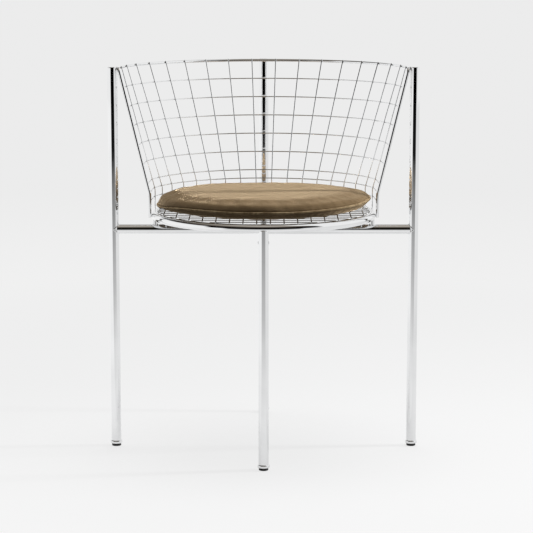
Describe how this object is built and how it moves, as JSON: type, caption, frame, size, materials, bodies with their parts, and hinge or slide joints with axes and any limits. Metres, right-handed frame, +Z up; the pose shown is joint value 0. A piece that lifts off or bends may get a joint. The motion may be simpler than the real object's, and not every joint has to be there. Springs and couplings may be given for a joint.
{
  "type": "wire mesh chair",
  "caption": "Wire mesh basket chair on chromed tube legs, with a loose round seat cushion.",
  "frame": {"origin": "on the floor, midway between the outer edges of the front and the back foot", "axes": "+Z up, +X to the right seen from the front, -Y towards the front of the chair"},
  "size_m": [0.603, 0.505, 0.7446],
  "materials": {
    "chromed steel": "polished chrome plate",
    "foot rubber": "matt",
    "cushion fabric": "short pile, brushed",
    "piping fabric": "short pile over a cord"
  },
  "bodies": {
    "frame": {"back_bar": "chromed steel", "back_leg": "chromed steel", "band_hoop_1": "chromed steel", "band_hoop_2": "chromed steel", "border_rod": "chromed steel", "crosswise_floor_wires": "chromed steel", "foot_pads": "foot rubber", "front_bar": "chromed steel", "front_leg": "chromed steel", "hoop_1": "chromed steel", "hoop_2": "chromed steel", "hoop_3": "chromed steel", "hoop_4": "chromed steel", "hoop_5": "chromed steel", "hoop_6": "chromed steel", "left_leg": "chromed steel", "left_upright_1": "chromed steel", "left_upright_2": "chromed steel", "left_upright_3": "chromed steel", "left_upright_4": "chromed steel", "left_upright_5": "chromed steel", "left_upright_6": "chromed steel", "left_upright_7": "chromed steel", "left_upright_8": "chromed steel", "left_upright_9": "chromed steel", "leg_caps": "chromed steel", "leg_glides": "chromed steel", "lengthwise_floor_wires": "chromed steel", "right_leg": "chromed steel", "right_upright_1": "chromed steel", "right_upright_2": "chromed steel", "right_upright_3": "chromed steel", "right_upright_4": "chromed steel", "right_upright_5": "chromed steel", "right_upright_6": "chromed steel", "right_upright_7": "chromed steel", "right_upright_8": "chromed steel", "right_upright_9": "chromed steel", "ring_standoffs": "chromed steel", "seat_ring": "chromed steel", "side_bar": "chromed steel"},
    "cushion": {"cushion_piping": "piping fabric", "seat_cushion": "cushion fabric"}
  },
  "joints": [
    {"name": "cushion_lift", "type": "slide", "parent": "frame", "child": "cushion", "axis": [0, 0, 1], "range_m": [0, 0.3]}
  ]
}
